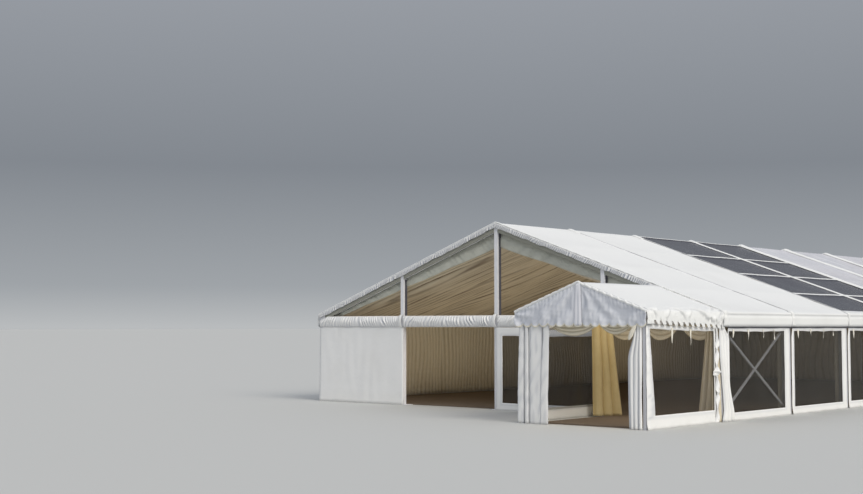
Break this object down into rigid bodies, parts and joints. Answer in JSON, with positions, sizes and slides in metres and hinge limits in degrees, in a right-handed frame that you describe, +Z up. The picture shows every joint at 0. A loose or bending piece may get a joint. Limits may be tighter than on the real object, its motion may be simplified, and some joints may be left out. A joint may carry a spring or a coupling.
{
  "type": "frame marquee with entrance porch",
  "caption": "Long white frame marquee with a pitched fabric roof, clear windows in its walls, an open lined front gable and a small gabled entrance porch at a front corner.",
  "frame": {"origin": "on the ground under the middle upright of the front gable, on the plane of the front frame", "axes": "+X across the span to the side wall that the porch lines up with, +Y along the ridge from the front gable to the rear gable, +Z up"},
  "size_m": [12, 24.1182, 4.4],
  "materials": {
    "aluminium": "mill-finished extrusion, satin",
    "white_pvc": "PVC-coated cloth, low sheen",
    "pearl_pvc": "translucent PVC-coated cloth, glossy",
    "smoked_pvc": "smoked clear PVC film, glossy",
    "clear_pvc": "clear PVC film, glossy",
    "ivory_lining": "gathered voile, matt",
    "coir_floor": "woven coir matting"
  },
  "bodies": {
    "root": {"front_gable_frame": "aluminium", "portal_frame_2": "aluminium", "portal_frame_3": "aluminium", "portal_frame_4": "aluminium", "portal_frame_5": "aluminium", "portal_frame_6": "aluminium", "portal_frame_7": "aluminium", "rear_gable_frame": "aluminium", "ridge_purlin": "aluminium", "right_purlin_1": "aluminium", "right_purlin_2": "aluminium", "right_purlin_3": "aluminium", "left_purlin_1": "aluminium", "left_purlin_2": "aluminium", "left_purlin_3": "aluminium", "right_eave_rail": "aluminium", "left_eave_rail": "aluminium", "right_wall_brace": "aluminium", "left_wall_brace": "aluminium", "roof_sheet_1": "white_pvc", "roof_sheet_2": "white_pvc", "roof_sheet_3": "smoked_pvc", "roof_sheet_4": "smoked_pvc", "roof_sheet_5": "pearl_pvc", "roof_sheet_6": "pearl_pvc", "roof_sheet_7": "pearl_pvc", "front_verge_trim": "white_pvc", "front_roof_lining": "ivory_lining", "rear_roof_lining": "ivory_lining", "middle_left_lining": "ivory_lining", "front_lining_fascia": "white_pvc", "right_side_wall": "white_pvc", "right_side_windows": "clear_pvc", "left_side_wall": "white_pvc", "left_side_windows": "clear_pvc", "rear_wall": "white_pvc", "rear_windows": "clear_pvc", "front_wall_right": "white_pvc", "front_window": "clear_pvc", "front_wall_left": "white_pvc", "front_pelmet_left": "white_pvc", "front_pelmet_centre": "white_pvc", "front_pelmet_right": "white_pvc", "floor": "coir_floor", "porch_frame": "aluminium", "porch_roof": "white_pvc", "porch_gable_valance": "white_pvc", "porch_right_wall": "white_pvc", "porch_right_window": "clear_pvc", "porch_left_wall": "white_pvc", "porch_left_window": "clear_pvc", "porch_curtain_left": "white_pvc", "porch_curtain_right": "white_pvc", "porch_swags": "ivory_lining", "doorway_swags": "ivory_lining", "ivory_curtain_left": "ivory_lining", "ivory_curtain_right": "ivory_lining", "corner_drape": "white_pvc"}
  },
  "joints": []
}
